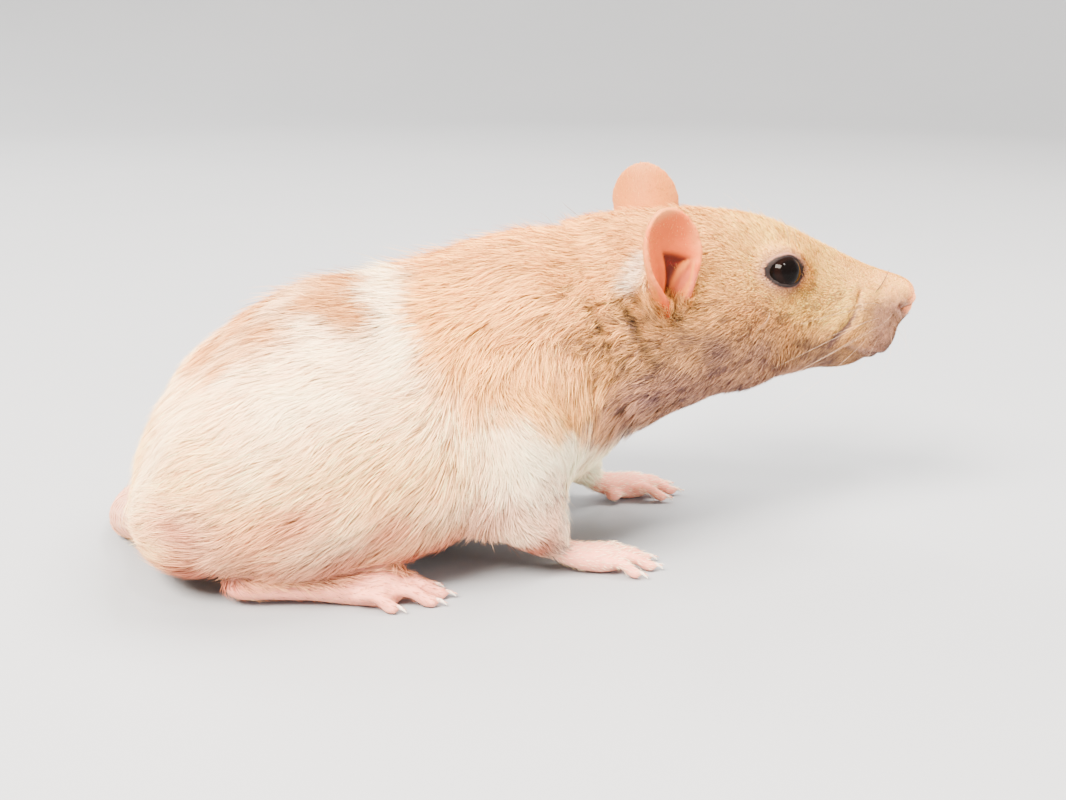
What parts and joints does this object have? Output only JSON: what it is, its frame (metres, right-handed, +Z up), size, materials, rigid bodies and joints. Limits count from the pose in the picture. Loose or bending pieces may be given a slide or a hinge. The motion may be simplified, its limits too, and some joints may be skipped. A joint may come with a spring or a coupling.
{
  "type": "pet rat model",
  "caption": "Life-size still model of a young hooded pet rat crouched on all fours with raised head, upright round ears and a tail curled round its far side.",
  "frame": {"origin": "centre of the bounding box in plan, at floor level", "axes": "+X from the tail to the nose, +Y to the rat's left, +Z up"},
  "size_m": [0.1348, 0.0862, 0.0603],
  "materials": {
    "fawn_coat": "short soft fur, fawn",
    "white_coat": "short soft fur, ivory white",
    "pink_skin": "bare pink skin",
    "eye": "wet black",
    "tail_skin": "finely ringed bare skin"
  },
  "bodies": {
    "root": {"head": "fawn_coat", "neck": "fawn_coat", "torso": "white_coat", "thigh_right": "white_coat", "thigh_left": "white_coat", "foreleg_right": "white_coat", "foreleg_left": "white_coat", "forepaw_right": "pink_skin", "forepaw_left": "pink_skin", "hind_foot_right": "pink_skin", "hind_foot_left": "pink_skin", "ear_right": "pink_skin", "ear_left": "pink_skin", "eye_right": "eye", "eye_left": "eye", "tail_1": "tail_skin", "tail_2": "tail_skin", "tail_3": "tail_skin", "tail_4": "tail_skin", "tail_5": "tail_skin", "tail_6": "tail_skin"}
  },
  "joints": []
}
